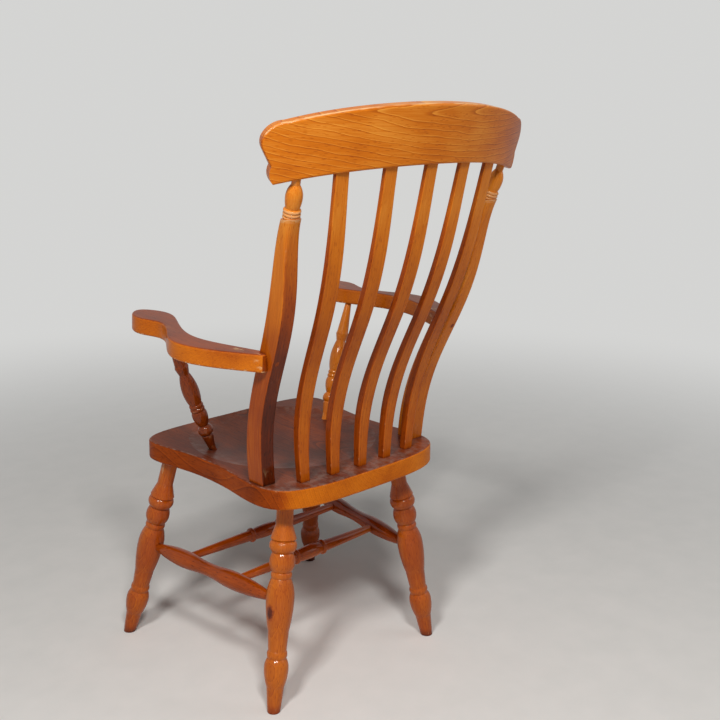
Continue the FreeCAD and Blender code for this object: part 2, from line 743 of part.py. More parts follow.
def rounded_board(name, curve_pieces, thickness, edge_round):
    """Board padded up from an outline of curves, with its upper and lower edges rounded."""
    body = doc.addObject("PartDesign::Body", name)
    sketch = body.newObject("Sketcher::SketchObject", name + "_outline")
    attach(sketch, body, "XY_Plane")
    for piece in curve_pieces:
        sketch.addGeometry(piece)
    for number in range(len(curve_pieces) if len(curve_pieces) > 1 else 0):
        after = (number + 1) % len(curve_pieces)
        sketch.addConstraint(Sketcher.Constraint("Coincident", number, 2, after, 1))
    pad = body.newObject("PartDesign::Pad", name + "_pad")
    pad.Profile = sketch
    pad.setExpression("Length", bound(thickness))
    doc.recompute()
    flat = []
    for number, edge in enumerate(pad.Shape.Edges, start=1):
        if edge.BoundBox.ZLength < 0.001:
            flat.append(f"Edge{number}")
    fillet = body.newObject("PartDesign::Fillet", name + "_round")
    fillet.Base = (pad, flat)
    fillet.setExpression("Radius", bound(edge_round))
    return body


for side_name, side in SIDES:
    label = f"arm_{side_name}"
    inner = []
    outer = []
    for place in ARM_PLACES:
        forward = size(f"arm_{place}_line") - size("arm_rear")
        inner.append(Vector(side * size(f"arm_{place}_inner"), forward, 0))
        outer.append(Vector(side * size(f"arm_{place}_outer"), forward, 0))
    rear_inner = Vector(side * size("arm_rear_inner"), 0, 0)
    rear_outer = Vector(side * size("arm_rear_outer"), 0, 0)
    front = Vector(side * size("arm_front_side"), size("arm_front") - size("arm_rear"), 0)
    sweep = Part.BSplineCurve()
    sweep.interpolate(Points=[rear_inner] + inner + [front] + outer[::-1] + [rear_outer],
                      InitialTangent=inner[0] - rear_inner, FinalTangent=rear_outer - outer[0])
    rear_end = Part.LineSegment(rear_outer, rear_inner)
    board = rounded_board(label + "_board", [sweep, rear_end], "arm_thickness", "arm_edge_round")
    rear_under = Vector(0, size("arm_rear"), arm_under(size("arm_rear")))
    board.Placement = Placement(rear_under, Rotation(Vector(1, 0, 0), -size("arm_rise")))
    keep(cut(label + "_fitted", board, arm_tools[side]), label)


# Seat board

def seat_outline(steps=48):
    """Closed curve through a rounded oblong whose sides draw in to a waist."""
    middle = (size("seat_rear") + size("seat_front")) / 2
    half_length = (size("seat_rear") - size("seat_front")) / 2
    points = []
    for step in range(steps):
        angle = 2 * math.pi * (step + 0.5) / steps
        end = "rear" if math.sin(angle) > 0 else "front"
        power = 2 / size(f"seat_{end}_corner_power")
        along_y = math.copysign(abs(math.sin(angle)) ** power, math.sin(angle))
        across = math.copysign(abs(math.cos(angle)) ** power, math.cos(angle))
        half_width = size("seat_waist_half_width") + size("seat_flare") * along_y ** 2
        points.append(Vector(half_width * across, middle + half_length * along_y, 0))
    curve = Part.BSplineCurve()
    curve.interpolate(points, True)
    return curve


board = rounded_board("seat_blank", [seat_outline()], "seat_thickness", "seat_edge_round")
board.Placement.Base = Vector(0, 0, SEAT_UNDER)
bowl = doc.addObject("Part::Ellipsoid", "seat_dish")
lift = size("dish_bowl_height") - size("dish_depth")
spread = math.sqrt(1 - (lift / size("dish_bowl_height")) ** 2)
bowl.setExpression("Radius1", bound("dish_bowl_height"))
bowl.setExpression("Radius2", f"Sizes.dish_half_width / {spread}")
bowl.setExpression("Radius3", f"Sizes.dish_half_length / {spread}")
bowl.Placement.Base = Vector(0, size("dish_middle"), SEAT_TOP + lift)
keep(cut("seat_dished", board, [bowl] + seat_tools), "seat_board")


# Crest rail

CREST_END = ("shoulder", "ear", "tip", "notch", "lobe", "corner")


def crest_outline(sketch, scale):
    """Arched edges and, at each end, an ear, a notch and a lobe, seen from the axis of the bow.

    Scale is the outline's distance from that axis as a share of the bow's radius.
    """
    radius = size("crest_bow_radius")
    ends = []
    for side in (1, -1):
        end = []
        for name in CREST_END:
            spread = scale * math.tan(math.asin(size(f"crest_{name}_side") / radius)) * radius
            end.append(Vector(side * spread, size(f"crest_{name}_high"), 0))
        ends.append(end)
    left, right = ends
    low = Vector(0, size("crest_middle_low"), 0)
    high = Vector(0, size("crest_middle_high"), 0)
    pieces = [Part.Arc(right[0], high, left[0])]
    pieces.append(Part.Arc(left[0], left[1], left[2]))
    pieces.append(Part.LineSegment(left[2], left[3]))
    pieces.append(Part.Arc(left[3], left[4], left[5]))
    pieces.append(Part.Arc(left[5], low, right[5]))
    pieces.append(Part.Arc(right[5], right[4], right[3]))
    pieces.append(Part.LineSegment(right[3], right[2]))
    pieces.append(Part.Arc(right[2], right[1], right[0]))
    for piece in pieces:
        sketch.addGeometry(piece)


# The outline widens away from the axis of the bow, so that the ends are square to the bowed face
crest_face = doc.addObject("PartDesign::Body", "crest_face")
outlines = []
for scale in (0.8, 1.2):
    sketch = crest_face.newObject("Sketcher::SketchObject", "crest_outline")
    attach(sketch, crest_face, "XZ_Plane")
    out = size("crest_bow_radius") * (scale - 1)
    sketch.AttachmentOffset = Placement(Vector(0, 0, -out), Rotation())
    crest_outline(sketch, scale)
    outlines.append(sketch)
loft = crest_face.newObject("PartDesign::AdditiveLoft", "crest_face_loft")
loft.Profile = outlines[0]
loft.Sections = outlines[1:]
loft.Ruled = True

crest_bow = doc.addObject("PartDesign::Body", "crest_bow")
sketch = crest_bow.newObject("Sketcher::SketchObject", "crest_bow_plan")
attach(sketch, crest_bow, "XY_Plane")
bow_centre = Vector(0, -size("crest_bow_radius"), 0)
for radius in ("crest_bow_radius + crest_thickness / 2", "crest_bow_radius - crest_thickness / 2"):
    ring = sketch.addGeometry(Part.Circle(bow_centre, Vector(0, 0, 1), amount(radius)))
    constrain(sketch, "Radius", (ring,), radius)
    sketch.addConstraint(Sketcher.Constraint("PointOnObject", ring, 3, -2))
    constrain(sketch, "DistanceY", (ring, 3, -1, 1), "crest_bow_radius")
pad = crest_bow.newObject("PartDesign::Pad", "crest_bow_pad")
pad.Profile = sketch
pad.setExpression("Length", bound("crest_middle_high + crest_middle_high"))
crest_bow.Placement.Base = Vector(0, 0, -size("crest_middle_high") / 2)

crest_board = doc.addObject("Part::MultiCommon", "crest_board")
crest_board.Shapes = [crest_face, crest_bow]
crest_board.Placement = Placement(Vector(0, crest_line(0), BACK_TOP),
                                  Rotation(Vector(1, 0, 0), -size("crest_lean")))
doc.recompute()

into_board = crest_board.Placement.inverse()


def crosses_board(edge):
    """Whether an edge runs through the crest rail from its front face to its rear face."""
    reaches = []
    for corner in edge.Vertexes:
        place = into_board.multVec(corner.Point)
        reaches.append(math.hypot(place.x, place.y + size("crest_bow_radius")))
    return max(reaches) - min(reaches) > size("crest_thickness") / 2


crest_end_round = doc.addObject("Part::Fillet", "crest_end_round")
crest_end_round.Base = crest_board
rounded = []
for number, edge in enumerate(crest_board.Shape.Edges, start=1):
    if crosses_board(edge):
        height = into_board.multVec(edge.CenterOfMass).z
        for name in ("tip", "shoulder"):
            if abs(height - size(f"crest_{name}_high")) < 0.01:
                rounded.append((number, size(f"crest_{name}_round"), size(f"crest_{name}_round")))
crest_end_round.Edges = rounded
doc.recompute()

crest_round = doc.addObject("Part::Fillet", "crest_round")
crest_round.Base = crest_end_round
rounded = []
for number, edge in enumerate(crest_end_round.Shape.Edges, start=1):
    middle = into_board.multVec(edge.CenterOfMass)
    on_lobe = middle.z < size("crest_notch_high") and abs(middle.x) > size("crest_notch_side") / 2
    if not crosses_board(edge) and not on_lobe:
        rounded.append((number, size("crest_edge_round"), size("crest_edge_round")))
crest_round.Edges = rounded
keep(cut("crest_mortised", crest_round, crest_tools), "crest_rail")

doc.recompute()

# Test every object before anything is written
for feature in doc.Objects:
    if "Invalid" in feature.State or "Error" in feature.State:
        raise RuntimeError(f"{feature.Label} failed: {feature.State}")
for feature in subparts:
    if feature.Shape.isNull() or not feature.Shape.isValid():
        raise RuntimeError(f"{feature.Label} has no valid shape")

os.makedirs("parts", exist_ok=True)
for feature in subparts:
    feature.Shape.exportStep(f"parts/{feature.Label}.step")
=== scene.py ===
import math
from dataclasses import dataclass

import bmesh
import bpy
from mathutils import Matrix, Vector


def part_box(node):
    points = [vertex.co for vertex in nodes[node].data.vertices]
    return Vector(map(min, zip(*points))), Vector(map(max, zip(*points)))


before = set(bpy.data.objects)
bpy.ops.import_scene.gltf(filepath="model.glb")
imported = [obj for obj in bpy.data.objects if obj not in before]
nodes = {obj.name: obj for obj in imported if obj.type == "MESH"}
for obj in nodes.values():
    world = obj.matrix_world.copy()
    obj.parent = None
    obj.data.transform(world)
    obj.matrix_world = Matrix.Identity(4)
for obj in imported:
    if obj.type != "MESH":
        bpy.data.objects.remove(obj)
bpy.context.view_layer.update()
scene = bpy.context.scene
scene.view_settings.view_transform = "Standard"


# Short ways to fill a node tree

class Shading:
    """The node tree of a material or of the surround."""

    def __init__(self, owner):
        owner.use_nodes = True
        self.owner = owner
        self.tree = owner.node_tree
        self.tree.nodes.clear()

    def add(self, kind, **values):
        """A new node. A value whose name has a capital goes to an input, any other is a property."""
        made = self.tree.nodes.new(kind)
        plugs = {}
        for key, value in values.items():
            if key[0].isupper():
                plugs[key.replace("_", " ")] = value
            else:
                setattr(made, key, value)
        for key, value in plugs.items():
            self.plug(made.inputs[key], value)
        return made

    def plug(self, socket, value):
        """Sets an input, or links it to another node's output."""
        if isinstance(value, bpy.types.NodeSocket):
            self.tree.links.new(value, socket)
        else:
            socket.default_value = value

    def calc(self, operation, first, second=0.0):
        """One Math node's result."""
        made = self.add("ShaderNodeMath", operation=operation)
        self.plug(made.inputs[0], first)
        self.plug(made.inputs[1], second)
        return made.outputs[0]

    def product(self, first, *others):
        """Values multiplied with each other."""
        for other in others:
            first = self.calc("MULTIPLY", first, other)
        return first

    def scaled(self, value, amount, start=0.0):
        """The value times an amount, from a start."""
        made = self.add("ShaderNodeMath", operation="MULTIPLY_ADD")
        for socket, given in zip(made.inputs, (value, amount, start)):
            self.plug(socket, given)
        return made.outputs[0]

    def between(self, value, low, high, bottom=0.0, top=1.0):
        """The value's place between low and high, smoothed and clamped."""
        made = self.add("ShaderNodeMapRange", interpolation_type="SMOOTHSTEP", Value=value,
                        From_Min=low, From_Max=high, To_Min=bottom, To_Max=top)
        return made.outputs["Result"]

    def band(self, value, low, low_full, high_full, high):
        """1 within a band of values, fading out at both of its sides."""
        return self.product(self.between(value, low, low_full), self.between(value, high, high_full))

    def blended(self, share, first, second):
        """A colour between two, by a share."""
        made = self.add("ShaderNodeMix", data_type="RGBA")
        for place, given in ((0, share), (6, first), (7, second)):
            self.plug(made.inputs[place], given)
        return made.outputs[2]

    def ramp(self, value, stops):
        """A colour ramp over a value."""
        made = self.add("ShaderNodeValToRGB", Fac=value)
        band = made.color_ramp
        while len(band.elements) < len(stops):
            band.elements.new(0.5)
        for element, (place, colour) in zip(band.elements, stops):
            element.position = place
            element.color = (*colour, 1)
        return made.outputs["Color"]

    def speckle(self, vector, scale, detail=2.0, roughness=0.5):
        """Noise over a frame."""
        made = self.add("ShaderNodeTexNoise", Vector=vector, Scale=scale, Detail=detail,
                        Roughness=roughness)
        return made.outputs["Fac"]

    def stretched(self, vector, along):
        """A frame in which patterns are drawn out along the third axis."""
        made = self.add("ShaderNodeMapping", Vector=vector, Scale=(1, 1, along))
        return made.outputs["Vector"]

    def place(self):
        """The place on the piece, in metres from the origin of the frame."""
        return self.add("ShaderNodeTexCoord").outputs["Object"]

    def seen(self):
        """1 for rays that show the surround: from the camera, a reflection or a clear piece."""
        path = self.add("ShaderNodeLightPath").outputs
        shown = self.calc("MAXIMUM", path["Is Camera Ray"], path["Is Glossy Ray"])
        return self.calc("MAXIMUM", shown, path["Is Transmission Ray"])

    def mixed(self, share, first, second):
        """A shader between two, by a share."""
        made = self.add("ShaderNodeMixShader", Fac=share)
        self.plug(made.inputs[1], first)
        self.plug(made.inputs[2], second)
        return made.outputs["Shader"]

    def close(self, kind, shader):
        """Sends a shader to the tree's output, and gives back the tree's owner."""
        self.add(kind, Surface=shader)
        return self.owner


def new_finish(name):
    """The empty node tree of a new material."""
    return Shading(bpy.data.materials.new(name))


# Grain frames: the third axis runs along the piece

def moved(finish, turn, shift):
    """The place on the piece in a turned and shifted frame."""
    made = finish.add("ShaderNodeMapping", Vector=finish.place(), Rotation=turn.to_euler(),
                      Location=shift)
    return made.outputs["Vector"]


def straight_grain(finish, start, end):
    """Grain frame of a straight piece, from start to end."""
    run = (Vector(end) - Vector(start)).normalized()
    turn = run.rotation_difference(Vector((0, 0, 1))).to_matrix()
    return moved(finish, turn, -(turn @ Vector(start)))


BEND_HEIGHTS = (0.430, 0.535, 0.645, 0.760, 0.880, 1.010)


def bent_grain(finish, foot, top, rakes):
    """Grain frame of a lath or post bent to the rakes, from its foot to its top."""
    low, high = BEND_HEIGHTS[0], BEND_HEIGHTS[-1]
    parts = finish.add("ShaderNodeSeparateXYZ", Vector=finish.place()).outputs
    share = finish.add("ShaderNodeMapRange", Value=parts["Z"], From_Min=low, From_Max=high)
    share = share.outputs["Result"]
    curve = finish.add("ShaderNodeFloatCurve", Value=share)
    line = curve.mapping.curves[0]
    while len(line.points) < len(rakes):
        line.points.new(0.5, 0.5)
    for point, height, rake in zip(line.points, BEND_HEIGHTS, rakes):
        point.location = ((height - low) / (high - low), rake / rakes[-1])
    curve.mapping.update()
    side = finish.product(share, top[0] - foot[0])
    back = finish.product(curve.outputs["Value"], top[1] - foot[1])
    across = finish.calc("SUBTRACT", finish.calc("SUBTRACT", parts["X"], side), foot[0])
    depth = finish.calc("SUBTRACT", finish.calc("SUBTRACT", parts["Y"], back), foot[1])
    joined = finish.add("ShaderNodeCombineXYZ", X=across, Y=depth, Z=parts["Z"])
    return joined.outputs["Vector"]


CREST_BACK = 0.2955
CREST_FOOT = Vector((0, CREST_BACK, 1.010))
CREST_LEAN = math.radians(12)
CREST_BOW = 0.680


def bowed_grain(finish):
    """Grain frame of the crest rail: height, depth from its bowed face, and run along the bow."""
    turn = Matrix.Rotation(CREST_LEAN, 3, "X")
    leaned = moved(finish, turn, -(turn @ CREST_FOOT) + Vector((0, CREST_BOW, 0)))
    parts = finish.add("ShaderNodeSeparateXYZ", Vector=leaned).outputs
    run = finish.product(finish.calc("ARCTAN2", parts["X"], parts["Y"]), CREST_BOW)
    level = finish.add("ShaderNodeCombineXYZ", X=parts["X"], Y=parts["Y"]).outputs["Vector"]
    reach = finish.add("ShaderNodeVectorMath", operation="LENGTH", Vector=level).outputs["Value"]
    depth = finish.calc("SUBTRACT", reach, CREST_BOW)
    joined = finish.add("ShaderNodeCombineXYZ", X=parts["Z"], Y=depth, Z=run)
    return joined.outputs["Vector"]


# Growth rings

HEART_HEIGHT = 0.104
HEART_BEND = 0.145
HEART_SLACK = -0.147
RING_SWAY = 0.014
LOOP_ROUND = 0.00006
RING_FALL = 0.095
LOOP_GAP = 0.0108


def looped_rings(finish, grain):
    """The crest's rings: long lines that fall along the board and loop round near its top."""
    parts = finish.add("ShaderNodeSeparateXYZ", Vector=grain).outputs
    run = parts["Z"]
    heart = finish.product(finish.product(run, run), finish.scaled(run, HEART_SLACK, HEART_BEND))
    heart = finish.calc("ADD", heart, HEART_HEIGHT)
    drop = finish.calc("SUBTRACT", parts["X"], heart)
    sway = finish.speckle(finish.stretched(grain, 0.30), 30, 3.0)
    drop = finish.calc("ADD", drop, finish.scaled(sway, RING_SWAY, -RING_SWAY / 2))
    arch = finish.calc("SQRT", finish.scaled(drop, drop, LOOP_ROUND))
    reach = finish.scaled(run, RING_FALL, arch)
    return finish.calc("FRACT", finish.calc("DIVIDE", reach, LOOP_GAP))


# Metres between the rings of a wave pattern at scale 1
WAVE_REPEAT = 2 * math.pi / 20


def round_rings(finish, grain, wood):
    """Rings round a pith beside the piece, tilted a little to its run."""
    heart = finish.add("ShaderNodeMapping", Vector=grain, Location=(*wood.pith, 0),
                       Rotation=(*wood.tilt, 0)).outputs["Vector"]
    waves = finish.add("ShaderNodeTexWave", wave_type="RINGS", rings_direction="Z",
                       wave_profile="SAW", Vector=finish.stretched(heart, 0.10),
                       Scale=WAVE_REPEAT / wood.ring_gap,
                       Distortion=5.0, Detail=2.0, Detail_Scale=0.06)
    return waves.outputs["Fac"]


# Varnished beech: stain tones from grime and painted shade in a corner to a rubbed edge, and what
# settles on them

STAIN = (
    (0.00, (0.020, 0.004, 0.001)),
    (0.22, (0.110, 0.014, 0.001)),
    (0.48, (0.330, 0.055, 0.002)),
    (0.74, (0.600, 0.155, 0.005)),
    (1.00, (0.780, 0.300, 0.035)),
)
# The pale of bare rubbed wood, which also paints the highlight along the crest's rear arris
BARE_BEECH_AND_HIGHLIGHT = (0.760, 0.500, 0.260, 1)
DUST = (0.300, 0.225, 0.185, 1)
CLOUD_DEPTH = 0.34
STREAK_DEPTH = 0.26
FLECK_DEPTH = 0.13
PALE_LINE_SHARE = 0.9
GRIME_AND_SHADE_DEPTH = 0.35
GRIME_AND_SHADE_REACH = 0.010
BEHIND_DUST = 0.6
PATCH_STRETCH = 0.55
WEAR_GAP_FADE = 0.02
RING_FADE = 0.003
BARE_AND_HIGHLIGHT_SHARE = 0.80
SHEEN = 0.05
RELIEF_DEPTH = 0.0004

# Where faces start and fully count as tops, ends or sides, and places where painted shade and dust
# begin
TOP_FACING = (0.55, 0.92)
END_FACING = (0.72, 0.98)
SIDE_FACING = (0.45, 0.85)
REAR_PAINTED_SHADE_HEIGHTS = (0.94, 0.78)
SEAT_REAR = (0.06, 0.13)


@dataclass
class Wood:
    """How a piece of beech is cut, stained, soiled, worn and varnished, and where shade and
    highlight are painted on it.

    Painted shades darken the stain along an axis where shade falls, each from one place to another,
    by a depth. Spots are dark patches, each with a place, a size and a depth. Wear facing is the
    band of upward facings where edges are rubbed, wear gap a band of heights where they aren't, and
    pale rings a band of heights whose turned rings are paler.
    """

    tone: float
    pith: tuple = (0.03, 0.05)
    tilt: tuple = (0.0, 0.0)
    ring_gap: float = 0.005
    ring_share: float = 0.04
    figure: float = 1.0
    end_axis: tuple = None
    end_dark: float = 0.16
    side_painted_shade: float = 0.0
    rear_painted_shade: float = 0.0
    dull_and_shaded_top: float = 0.0
    painted_shades: tuple = ()
    spots: tuple = ()
    dust: float = 0.0
    rim_dust: float = 0.0
    wear: float = 0.5
    wear_facing: tuple = None
    wear_gap: tuple = None
    rear_arris_wear_and_highlight: float = 0.0
    under_arris: float = 0.0
    pale_rings: tuple = None
    coat: float = 0.22
    coat_rough: float = 0.09


class Face:
    """What the steps of a finish share: where a point lies, how it faces and its grain."""

    def __init__(self, finish, grain, wood):
        self.grain = grain
        self.where = finish.place()
        self.place = finish.add("ShaderNodeSeparateXYZ", Vector=self.where).outputs
        self.normal = finish.add("ShaderNodeTexCoord").outputs["Normal"]
        self.facing = finish.add("ShaderNodeSeparateXYZ", Vector=self.normal).outputs
        self.topside = finish.between(self.facing["Z"], *TOP_FACING)
        self.streaks = finish.speckle(finish.stretched(grain, 0.035), 520, 3.0, 0.6)
        self.clouds = finish.speckle(grain, 9, 2.0)
        self.ends = None
        if wood.end_axis:
            along = finish.add("ShaderNodeVectorMath", operation="DOT_PRODUCT")
            finish.plug(along.inputs[0], self.normal)
            finish.plug(along.inputs[1], wood.end_axis)
            either_way = finish.calc("ABSOLUTE", along.outputs["Value"])
            self.ends = finish.between(either_way, *END_FACING)


def figured(finish, face, wood, rings):
    """The stain's tone over the wood's figure: growth rings, flecks, streaks and clouds."""
    late = finish.between(rings, 0.22, 0.02)
    pale_line = finish.between(rings, 0.84, 0.97)
    broad = finish.speckle(finish.stretched(face.grain, 0.20), 28, 2.0)
    cells = finish.add("ShaderNodeTexVoronoi", Vector=finish.stretched(face.grain, 0.16), Scale=420)
    chosen = finish.add("ShaderNodeSeparateColor", Color=cells.outputs["Color"]).outputs["Red"]
    flecks = finish.product(finish.between(cells.outputs["Distance"], 0.34, 0.16),
                            finish.between(chosen, 0.45, 0.55))
    tone = finish.scaled(face.clouds, CLOUD_DEPTH, wood.tone - CLOUD_DEPTH / 2)
    for part, amount, middle in (
            (face.streaks, STREAK_DEPTH * wood.figure, 0.5),
            (broad, STREAK_DEPTH * wood.figure, 0.5),
            (late, -wood.ring_share, 0.1),
            (pale_line, PALE_LINE_SHARE * wood.ring_share, 0.1),
            (flecks, -FLECK_DEPTH * wood.figure, 0.1)):
        tone = finish.calc("ADD", tone, finish.scaled(part, amount, -amount * middle))
    return tone


def dark_patch(finish, face, spot, size):
    """1 in a dark patch with a ragged edge."""
    apart = finish.add("ShaderNodeVectorMath", operation="DISTANCE")
    finish.plug(apart.inputs[0], finish.stretched(face.where, PATCH_STRETCH))
    finish.plug(apart.inputs[1], (spot[0], spot[1], spot[2] * PATCH_STRETCH))
    ragged = finish.speckle(face.grain, 160, 2.0)
    ragged = finish.scaled(ragged, 0.5 * size, apart.outputs["Value"])
    return finish.between(ragged, 1.35 * size, 0.6 * size)


def darkened_and_shaded(finish, face, wood, tone):
    """The tone with darker end grain and patches, dulled tops, grime, and painted shade in places.
    """
    darker = []
    if wood.end_axis:
        darker.append((face.ends, wood.end_dark))
    # Side faces darker: painted shade, as on the laths' sides and on the seat's sides under the arms
    if wood.side_painted_shade:
        sideways = finish.between(finish.calc("ABSOLUTE", face.facing["X"]), *SIDE_FACING)
        darker.append((sideways, wood.side_painted_shade))
    # Rear faces darker below the neck: painted shade
    if wood.rear_painted_shade:
        rearward = finish.between(face.facing["Y"], *SIDE_FACING)
        lower = finish.between(face.place["Z"], *REAR_PAINTED_SHADE_HEIGHTS)
        darker.append((finish.product(rearward, lower), wood.rear_painted_shade))
    # Painted shade that deepens along an axis
    for axis, start, stop, depth in wood.painted_shades:
        darker.append((finish.between(face.place[axis], start, stop), depth))
    for spot, size, depth in wood.spots:
        darker.append((dark_patch(finish, face, spot, size), depth))
    # Tops darker: dulled by use, and partly painted shade
    if wood.dull_and_shaded_top:
        darker.append((face.topside, wood.dull_and_shaded_top))
    # Ambient occlusion darkens grooves, joints and undersides: grime, and painted shade where shade
    # falls
    hollow = finish.add("ShaderNodeAmbientOcclusion", samples=6, Distance=GRIME_AND_SHADE_REACH).outputs["AO"]
    darker.append((finish.between(hollow, 0.75, 0.25), GRIME_AND_SHADE_DEPTH))
    for share, depth in darker:
        tone = finish.calc("SUBTRACT", tone, finish.product(share, depth))
    return tone


def dusted(finish, face, wood, stain):
    """The stain with dust on its tops, and along the rim and behind the laths."""
    if wood.dust:
        cloudy = finish.scaled(face.clouds, 0.8, 0.6)
        settled = finish.product(cloudy, finish.product(face.topside, wood.dust))
        stain = finish.blended(settled, stain, DUST)
    if wood.rim_dust:
        scatter = finish.between(finish.speckle(face.where, 60, 4.0, 0.65), 0.40, 0.66)
        rim = finish.band(face.facing["Z"], 0.70, 0.90, 0.97, 1.0)
        behind = finish.product(finish.between(face.place["Y"], *SEAT_REAR), face.topside)
        rim = finish.calc("MAXIMUM", rim, finish.product(behind, BEHIND_DUST))
        stain = finish.blended(finish.product(rim, scatter, wood.rim_dust), stain, DUST)
    return stain


def worn_and_highlit_edges(finish, face, wood):
    """1 where edges are rubbed or chipped down to bare wood, at paler turned rings, and on the
    crest's painted arris highlight.
    """
    upward = face.facing["Z"]
    height = face.place["Z"]
    edge = finish.add("ShaderNodeNewGeometry").outputs["Pointiness"]
    patch = finish.speckle(finish.stretched(face.grain, 0.35), 95, 3.0, 0.65)
    patch = finish.between(patch, 0.64 - 0.14 * wood.wear, 0.74 - 0.10 * wood.wear)
    wear_and_highlight = finish.product(finish.between(edge, 0.515, 0.56), patch)
    if wood.wear_facing:
        wear_and_highlight = finish.product(wear_and_highlight, finish.band(upward, *wood.wear_facing))
    if wood.wear_gap:
        low, high = wood.wear_gap
        below = finish.between(height, low, low - WEAR_GAP_FADE)
        above = finish.between(height, high, high + WEAR_GAP_FADE)
        wear_and_highlight = finish.product(wear_and_highlight, finish.calc("MAXIMUM", below, above))
    if wood.end_axis:
        wear_and_highlight = finish.product(wear_and_highlight, finish.calc("SUBTRACT", 1.0, face.ends))
    # A dashed pale line along the rear arris: partly rubbed wood, partly painted highlight
    if wood.rear_arris_wear_and_highlight:
        turning = finish.product(finish.band(face.facing["Y"], 0.12, 0.34, 0.66, 0.84),
                                 finish.between(upward, 0.0, 0.25))
        dashes = finish.speckle(finish.stretched(face.grain, 0.22), 75, 3.0, 0.6)
        dashes = finish.between(dashes, 0.40, 0.56, 0.12, 1.0)
        wear_and_highlight = finish.calc("MAXIMUM", wear_and_highlight, finish.product(turning, dashes, wood.rear_arris_wear_and_highlight))
    if wood.under_arris:
        turning = finish.band(upward, -0.97, -0.85, -0.35, -0.12)
        chips = finish.between(finish.speckle(face.where, 150, 2.0), 0.58, 0.64)
        wear_and_highlight = finish.calc("MAXIMUM", wear_and_highlight, finish.product(turning, chips, wood.under_arris))
    # Turned rings paler within a band of heights
    if wood.pale_rings:
        low, high = wood.pale_rings
        ridge = finish.band(height, low, low + RING_FADE, high - RING_FADE, high)
        ridge = finish.product(ridge, finish.between(edge, 0.505, 0.53, 0.0, 0.6))
        wear_and_highlight = finish.calc("MAXIMUM", wear_and_highlight, ridge)
    return wear_and_highlight


def varnished_beech(finish, grain, wood, rings=None):
    """Stained and varnished beech over a grain frame, with painted shade and painted highlight."""
    face = Face(finish, grain, wood)
    if rings is None:
        rings = round_rings(finish, grain, wood)
    tone = darkened_and_shaded(finish, face, wood, figured(finish, face, wood, rings))
    stain = dusted(finish, face, wood, finish.ramp(tone, STAIN))
    wear_and_highlight = worn_and_highlit_edges(finish, face, wood)
    colour = finish.blended(finish.product(wear_and_highlight, BARE_AND_HIGHLIGHT_SHARE), stain, BARE_BEECH_AND_HIGHLIGHT)
    roughness = finish.scaled(wear_and_highlight, 0.28, finish.scaled(face.clouds, 0.12, 0.34))

    brushed = finish.speckle(finish.stretched(grain, 0.30), 70, 2.0)
    relief = finish.calc("ADD", finish.product(face.streaks, 0.35), finish.product(brushed, 0.9))
    relief = finish.calc("SUBTRACT", relief, finish.product(wear_and_highlight, 0.8))
    bump = finish.add("ShaderNodeBump", Strength=0.35, Distance=RELIEF_DEPTH, Height=relief)

    varnish = finish.add("ShaderNodeBsdfPrincipled", Base_Color=colour, Roughness=roughness,
                         Normal=bump.outputs["Normal"], Specular_IOR_Level=SHEEN,
                         Coat_Weight=wood.coat, Coat_Roughness=wood.coat_rough)
    return finish.close("ShaderNodeOutputMaterial", varnish.outputs["BSDF"])


def dress(name, material):
    """Gives a CAD piece its finish in every slot."""
    slots = nodes[name].data.materials
    if not slots:
        slots.append(material)
    for place in range(len(slots)):
        slots[place] = material


# Runs of the pieces, in metres: those of the left side, from which the right side is mirrored

SIDES = (("left", 1), ("right", -1))
LEG_RUNS = {
    "front": ((0.253, -0.3193, 0), (0.193, -0.238, 0.392)),
    "rear": ((0.208, 0.117, 0), (0.145, 0.077, 0.392)),
}
SIDE_STRETCHER_RUN = ((0.236, -0.278, 0.199), (0.176, 0.097, 0.199))
ARM_SUPPORT_RUN = ((0.154, -0.1485, 0.43), (0.238, -0.168, 0.66))
ARM_RUN = ((0.26, 0.1, 0.68), (0.26, -0.2, 0.69))
SEAT_RUN = ((0, -0.3, 0.41), (0, 0.1, 0.41))
PLUG_RUN = ((0, 0, 0.67), (0, 0.1, 0.67))
CROSS_REACH = Vector((0.1, 0, 0))


def sided_grain(finish, run, sign):
    """Straight grain along a run on the left or right side."""
    start, end = ((sign * x, y, z) for x, y, z in run)
    return straight_grain(finish, start, end)


# Legs, stretchers and arm supports

# Leg and stretcher tones are lower for pieces that lie in shade under the seat: painted shade
LEG_TONES_WITH_PAINTED_SHADE = {
    ("front", "left"): 0.52,
    ("rear", "left"): 0.61,
    ("front", "right"): 0.42,
    ("rear", "right"): 0.52,
}
# Dark patches on the rear left leg: one just under the side stretcher, one near the foot
LEG_DARK_PATCHES = {
    ("rear", "left"): (
        ((0.2015, 0.1000, 0.186), 0.010, 0.42),
        ((0.2090, 0.1230, 0.062), 0.004, 0.30),
    ),
}
# Painted shade at the bottom of each foot, where it meets the floor
FOOT_PAINTED_SHADE = ("Z", 0.020, 0.002, 0.16)
CROSS_TONES_WITH_PAINTED_SHADE = (("front", 0.42), ("rear", 0.51))

